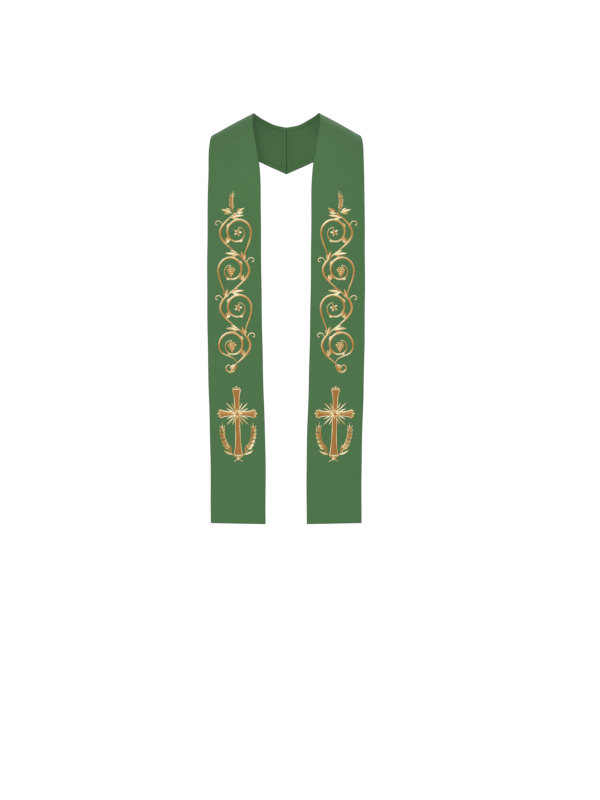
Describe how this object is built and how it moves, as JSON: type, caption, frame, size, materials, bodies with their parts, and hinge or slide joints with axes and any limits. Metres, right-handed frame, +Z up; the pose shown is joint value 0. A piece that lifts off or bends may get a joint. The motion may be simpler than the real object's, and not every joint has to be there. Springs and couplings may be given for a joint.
{
  "type": "clerical stole",
  "caption": "Long stiffened cloth band worn round the neck over both shoulders, its straight ends hanging in front, with a V-shaped seam at the nape.",
  "frame": {"origin": "middle of the neck opening, level with the top of the band where it crosses the two shoulders", "axes": "+Z up, -Y the way the wearer faces, +X the wearer's left"},
  "size_m": [0.4092, 0.251, 1.075],
  "materials": {
    "green_cloth": "matte, fine ribbed weave",
    "gold_thread": "satin-stitched thread with a soft sheen"
  },
  "bodies": {
    "root": {"band_left": "green_cloth", "band_right": "green_cloth"}
  },
  "joints": []
}
